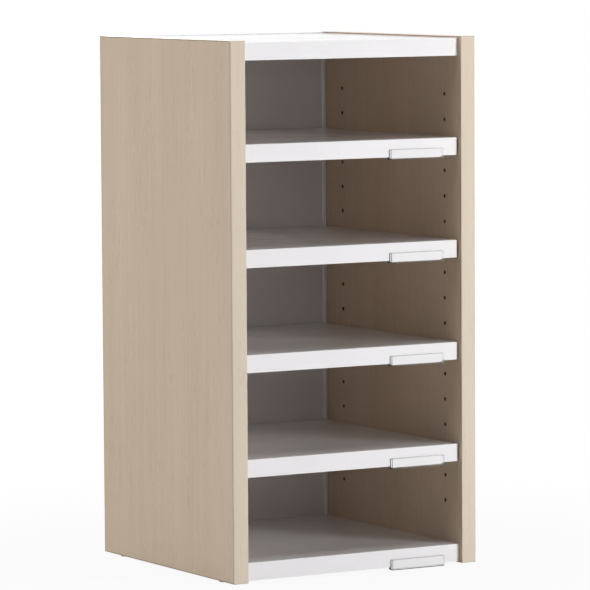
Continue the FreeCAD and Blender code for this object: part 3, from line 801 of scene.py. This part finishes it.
for node in ("top_panel_screws", "bottom_panel_screws"):
    for half in tray_screws(node):
        stand_for(half, node, "carcass")
        print(half.name, len(half.data.polygons), "faces")
back = stand_for(back_screws("back_panel_screws"), "back_panel_screws", "carcass")
print(back.name, len(back.data.polygons), "faces")

# %% [markdown]
# ## Glides
#
# The sorter stands on four low plastic discs, each with a stem that is pressed into the bottom edge of its
# panel. They keep the bands off the desk. A spun profile with a generous rounding gives the button shape,
# and a dark plastic with dull scratches shows that it slides.

# %% Glides
GLIDE_RADIUS = 8 * MM
GLIDE_HEIGHT = 2 * MM
STEM_RADIUS = 2.4 * MM
STEM_LENGTH = 10 * MM
GLIDE_DARK = colour(62, 58, 54)
GLIDE_SCUFFED = colour(104, 99, 93)
GLIDE_ROUGHNESS = (0.45, 0.7)
SCRATCHES = (180.0, 1400.0, 180.0)
SCRATCH_DEPTH = 0.02 * MM
GLIDE_PROFILE = [
    (0.0, 0.0, 0),
    (0.0, GLIDE_RADIUS - 0.8 * MM, 0.6 * MM),
    (0.8 * MM, GLIDE_RADIUS, 0.5 * MM),
    (GLIDE_HEIGHT, GLIDE_RADIUS, 0.2 * MM),
    (GLIDE_HEIGHT, STEM_RADIUS, 0),
    (GLIDE_HEIGHT + STEM_LENGTH, STEM_RADIUS, 0.6 * MM),
    (GLIDE_HEIGHT + STEM_LENGTH, 0.0, 0),
]


def glide_plastic():
    material, tree, shader = new_material("glide_plastic", Specular_IOR_Level=0.4)
    place = own_place(tree)
    scratches = ramp(tree, noise(tree, place, SCRATCHES, 3.0), 0.55, 0.7)
    connect(
        tree, shader, Base_Color=mix_colour(tree, scratches, GLIDE_DARK, GLIDE_SCUFFED),
        Roughness=ramp(tree, scratches, 0.0, 1.0, *GLIDE_ROUGHNESS),
        Normal=relief(tree, scratches, -SCRATCH_DEPTH, 0.5),
    )
    return material


def moulded_glides(node):
    low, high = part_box(node)
    mesh = bmesh.new()
    for x in (low.x + GLIDE_RADIUS, high.x - GLIDE_RADIUS):
        for y in (low.y + GLIDE_RADIUS, high.y - GLIDE_RADIUS):
            spin(mesh, GLIDE_PROFILE, (x, y, 0.0), (0, 0, 1))
    return finish_piece(mesh, node + "_moulded", glide_plastic())


glides = stand_for(moulded_glides("glides"), "glides", "carcass")
print(glides.name, len(glides.data.polygons), "faces")

# %% [markdown]
# ## Label holders
#
# Each holder is one clear moulding: a narrow pocket in front of the shelf, open at the top for the card,
# and a hook that passes under the shelf's front and up behind it. Its corners are rounded, which is what
# draws the bright and dark lines round it. Its section is drawn once and pulled out sideways, the pocket is
# cut out of it, and a bevel rounds what is left. One mesh serves all the holders.

# %% Label holder shape
HOLDER_DEPTH = 5.2 * MM
HOLDER_HANG = 3.2 * MM
HOLDER_GAP = 0.3 * MM
FRONT_WALL = 1.0 * MM
REAR_WALL = 0.8 * MM
END_WALL = 1.0 * MM
HOLDER_FLOOR = 1.5 * MM
HOOK_WALL = 1.2 * MM
HOOK_RISE = 6 * MM
CORNER_ROUNDING = 0.8 * MM
CORNER_STEPS = 6
EDGE_ROUNDING = 0.35 * MM
EDGE_STEPS = 3
EDGE_ANGLE = math.radians(40)
POCKET_OVERSHOOT = 2 * MM

holder_low, holder_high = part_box("bottom_label_holder")
HOLDER_SIZE = holder_high - holder_low
print("holder:", [round(x / MM, 2) for x in HOLDER_SIZE], "mm")


def block(mesh, low, high):
    corners = [mesh.verts.new((x, y, z)) for z in (low[2], high[2]) for x, y in (
        (low[0], low[1]), (high[0], low[1]), (high[0], high[1]), (low[0], high[1]),
    )]
    for face in ((3, 2, 1, 0), (4, 5, 6, 7), (0, 1, 5, 4), (1, 2, 6, 5), (2, 3, 7, 6), (3, 0, 4, 7)):
        mesh.faces.new([corners[index] for index in face])


def holder_section():
    """Depth and height of the section's corners, without the pocket."""
    hook_back = HOLDER_SIZE.y
    hook_front = hook_back - HOOK_WALL
    hook_top = HOLDER_HANG + HOOK_RISE
    under_tray = HOLDER_HANG - HOLDER_GAP
    wall_back = HOLDER_DEPTH - HOLDER_GAP
    return [
        (0.0, 0.0), (hook_back, 0.0), (hook_back, hook_top), (hook_front, hook_top),
        (hook_front, under_tray), (wall_back, under_tray), (wall_back, HOLDER_SIZE.z), (0.0, HOLDER_SIZE.z),
    ]


def drawn_out_section(mesh):
    length = HOLDER_SIZE.x
    left = [mesh.verts.new((0.0, y, z)) for y, z in holder_section()]
    right = [mesh.verts.new((length, y, z)) for y, z in holder_section()]
    mesh.faces.new(left[::-1])
    mesh.faces.new(right)
    for index in range(len(left)):
        following = (index + 1) % len(left)
        mesh.faces.new([left[index], left[following], right[following], right[index]])


def round_corners(mesh):
    """Rounds the four corners that the front view shows."""
    def at_corner(edge):
        one, two = (vertex.co for vertex in edge.verts)
        runs_back = abs(one.z - two.z) < EDGE_ROUNDING and abs(one.x - two.x) < EDGE_ROUNDING
        return runs_back and (one.z < EDGE_ROUNDING or one.z > HOLDER_SIZE.z - EDGE_ROUNDING)
    corners = [edge for edge in mesh.edges if at_corner(edge)]
    bmesh.ops.bevel(
        mesh, geom=corners, offset=CORNER_ROUNDING, segments=CORNER_STEPS, profile=0.5, affect="EDGES",
    )


def holder_shape(material):
    body = bmesh.new()
    drawn_out_section(body)
    bmesh.ops.recalc_face_normals(body, faces=body.faces)
    round_corners(body)
    piece = finish_piece(body, "label_holder_shape", material)
    pocket = bmesh.new()
    pocket_back = HOLDER_DEPTH - HOLDER_GAP - REAR_WALL
    block(
        pocket, (END_WALL, FRONT_WALL, HOLDER_FLOOR),
        (HOLDER_SIZE.x - END_WALL, pocket_back, HOLDER_SIZE.z + POCKET_OVERSHOOT),
    )
    carve(piece, finish_piece(pocket, "label_holder_pocket", material))
    soft = piece.modifiers.new("soft edges", "BEVEL")
    soft.width = EDGE_ROUNDING
    soft.segments = EDGE_STEPS
    soft.limit_method = "ANGLE"
    soft.angle_limit = EDGE_ANGLE
    soft.harden_normals = True
    settle(piece)
    return piece


# %% [markdown]
# ## Clear plastic
#
# The holders are clear acrylic. Real glass shading lets light in only by chance hits, which leaves the card
# behind it dark and grainy. So shadow rays and scattered light pass straight through here, by a Transparent
# shader that only they meet, and every other ray gets the bending and mirroring of the plastic. Its rims
# bend light away from the eye, and at this size a grey tint along them draws that thin line more surely
# than the bending alone.

# %% Material: clear plastic
CLEAR = (0.99, 0.99, 0.99, 1.0)
CLEAR_RIM = colour(84, 82, 80)
CLEAR_RIM_WIDTH = 0.8 * MM
CLEAR_ROUGHNESS = (0.02, 0.09)
ACRYLIC_IOR = 1.49


def clear_plastic():
    material, tree, shader = new_material("clear_plastic", Transmission_Weight=1.0, IOR=ACRYLIC_IOR)
    place = own_place(tree)
    smudge = use_group(tree, handling, {"Place": place})["Smudge"]
    rim = use_group(tree, edge_wear_and_shade, {"Place": place, "Radius": CLEAR_RIM_WIDTH})["Edge"]
    connect(
        tree, shader, Base_Color=mix_colour(tree, rim, CLEAR, CLEAR_RIM),
        Roughness=ramp(tree, smudge, 0.0, 1.0, *CLEAR_ROUGHNESS),
    )
    rays = put(tree, "ShaderNodeLightPath").outputs
    passes = calc(tree, "MAXIMUM", rays["Is Shadow Ray"], rays["Is Diffuse Ray"])
    blend_shaders(tree, passes, shader, put(tree, "ShaderNodeBsdfTransparent", {"Color": CLEAR}))
    return material


holder_pattern = holder_shape(clear_plastic())
print("holder shape:", len(holder_pattern.data.polygons), "faces")

# %% Holders in place
holder_names = [name for name in nodes if name.endswith("_label_holder")]


def place_copies(pattern, names, suffix):
    """Puts a copy of one shape at the lower front left corner of every named solid."""
    for name in names:
        copy = bpy.data.objects.new(name + suffix, pattern.data)
        copy.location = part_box(name)[0]
        bpy.context.scene.collection.objects.link(copy)
        stand_for(copy, name, name)
    bpy.data.objects.remove(pattern)


place_copies(holder_pattern, holder_names, "_moulded")
print("holders:", len(holder_names))

# %% [markdown]
# ## Label cards
#
# A blank card stands in each pocket, against its rear wall. Cut card is never quite flat: between the ends
# of its pocket it bows a little towards the front, and its corners are nipped. A grid of faces takes the
# bow from a plain sine, and its finish is matt paper with a faint fibre.

# %% Cards
CARD_THICKNESS = 0.4 * MM
CARD_BOW = 0.35 * MM
CARD_NIP = 0.6 * MM
CARD_STEPS = 24
CARD_WHITE = colour(240, 239, 240)
CARD_FIBRE = colour(234, 233, 234)
CARD_ROUGHNESS = (0.78, 0.9)
PAPER_FIBRES = (900.0, 900.0, 2600.0)
PAPER_DEPTH = 0.02 * MM


def card_paper():
    material, tree, shader = new_material("card_paper", Specular_IOR_Level=0.3)
    place = own_place(tree)
    fibre = ramp(tree, noise(tree, place, PAPER_FIBRES, 4.0), *NOISE_SPREAD)
    connect(
        tree, shader, Base_Color=mix_colour(tree, fibre, CARD_WHITE, CARD_FIBRE),
        Roughness=ramp(tree, fibre, 0.0, 1.0, *CARD_ROUGHNESS), Normal=relief(tree, fibre, PAPER_DEPTH, 0.4),
    )
    return material


def card_shape():
    low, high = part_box("bottom_label_card")
    size = high - low
    mesh = bmesh.new()
    columns = []
    for step in range(CARD_STEPS + 1):
        share = step / CARD_STEPS
        nip = CARD_NIP if step in (0, CARD_STEPS) else 0.0
        bow = -CARD_BOW * math.sin(math.pi * share)
        column = []
        for y in (bow, bow + CARD_THICKNESS):
            for z in (nip, size.z - nip):
                column.append(mesh.verts.new((share * size.x, y, z)))
        columns.append(column)
    for first, second in zip(columns, columns[1:]):
        for one, two in ((0, 1), (1, 3), (3, 2), (2, 0)):
            mesh.faces.new([first[one], first[two], second[two], second[one]])
    mesh.faces.new([columns[0][index] for index in (0, 1, 3, 2)])
    mesh.faces.new([columns[-1][index] for index in (0, 1, 3, 2)])
    return finish_piece(mesh, "label_card_shape", card_paper())


card_names = [name for name in nodes if name.endswith("_label_card")]
place_copies(card_shape(), card_names, "_cut")
print("cards:", len(card_names))

# %% [markdown]
# ## Floor, lamps and surroundings
#
# The sorter stands on a plain pale floor. To the lamps it is a matt light grey that takes the shadow. Rays
# from the camera, from gloss and through clear plastic see it mixed with plain white, mostly white beside
# the sorter and nothing else further off, and they find white surroundings too. So the background is white
# without more light on the object.

# %% Floor
FLOOR_REACH = 60.0
FLOOR_COLOUR = (0.6, 0.6, 0.6, 1.0)
WHITE_FROM = 0.25
WHITE_AT = 0.9
FLOOR_WHITE_NEAR = 0.92
FLOOR_ROUGHNESS = 0.9
PLAIN_WHITE = (1.0, 1.0, 1.0, 1.0)


def sees_white(tree):
    """1 for rays that find a white background: from the camera, from gloss and through clear plastic."""
    rays = put(tree, "ShaderNodeLightPath").outputs
    some = calc(tree, "MAXIMUM", rays["Is Camera Ray"], rays["Is Glossy Ray"])
    return calc(tree, "MAXIMUM", some, rays["Is Transmission Ray"])


def floor_finish():
    material, tree, shader = new_material(
        "floor", Base_Color=FLOOR_COLOUR, Roughness=FLOOR_ROUGHNESS, Specular_IOR_Level=0.0,
    )
    place = own_place(tree)
    away = put(tree, "ShaderNodeVectorMath", {0: place}, operation="LENGTH").outputs["Value"]
    share = ramp(tree, away, WHITE_FROM, WHITE_AT, FLOOR_WHITE_NEAR, 1.0)
    glow = put(tree, "ShaderNodeEmission", {"Color": PLAIN_WHITE, "Strength": 1.0})
    blend_shaders(tree, calc(tree, "MULTIPLY", share, sees_white(tree)), shader, glow)
    return material


floor_mesh = bmesh.new()
bmesh.ops.create_grid(floor_mesh, x_segments=1, y_segments=1, size=FLOOR_REACH)
floor = finish_piece(floor_mesh, "floor", floor_finish())
print("floor:", 2 * FLOOR_REACH, "m across")

# %% Surroundings
AMBIENT = (0.05, 0.05, 0.05, 1.0)
world = bpy.data.worlds.new("studio")
world.use_nodes = True
bpy.context.scene.world = world
sky = next(node for node in world.node_tree.nodes if node.type == "BACKGROUND")
seen = mix_colour(world.node_tree, sees_white(world.node_tree), AMBIENT, PLAIN_WHITE)
world.node_tree.links.new(seen, sky.inputs["Color"])
sky.inputs["Strength"].default_value = 1.0
print("ambient light:", AMBIENT[0])

# %% [markdown]
# ## Lamps
#
# The key is a broad softbox to the right of the front, with its middle level with the sorter's top, so its
# light reaches deep into the compartments and the shelves' fronts get brighter than the left side. It is
# hidden from gloss and from clear plastic, where it would leave a hard white patch on the label holders. A
# broad lamp overhead whitens the tops, and three more lift the left side, the upper front and the back, so
# that no side goes black. A sky picture could light it as well, but lamps can be turned up and down one at
# a time.

# %% Lamps


def softbox(name, place, aim, width, height, watts):
    light = bpy.data.lights.new(name, "AREA")
    light.shape = "RECTANGLE"
    light.size = width
    light.size_y = height
    light.energy = watts
    lamp = bpy.data.objects.new(name, light)
    lamp.location = place
    lamp.rotation_mode = "QUATERNION"
    lamp.rotation_quaternion = (Vector(aim) - Vector(place)).to_track_quat("-Z", "Y")
    bpy.context.scene.collection.objects.link(lamp)
    return lamp


MIDDLE = (0.0, 0.0, 0.33)
TOP_FRONT = (0.0, 0.0, 0.64)
LAMPS = {  # place, aim, width, height, watts
    "key": ((2.01, -2.98, 0.66), MIDDLE, 1.0, 0.8, 95.0),
    "left fill": ((-3.0, 0.4, 0.9), MIDDLE, 1.6, 1.4, 31.5),
    "front fill": ((-0.1, -1.6, 0.72), TOP_FRONT, 0.5, 0.3, 0.7),
    "back fill": ((0.6, 3.0, 1.2), MIDDLE, 1.6, 1.4, 53.0),
    "overhead": ((0.0, 0.0, 2.6), MIDDLE, 2.4, 2.4, 43.0),
}
lamps = {name: softbox(name, *row) for name, row in LAMPS.items()}
lamps["key"].visible_glossy = False
lamps["key"].visible_transmission = False
print("lamps:", {name: lamp.data.energy for name, lamp in lamps.items()})

# %% Colour handling
bpy.context.scene.view_settings.view_transform = "Standard"
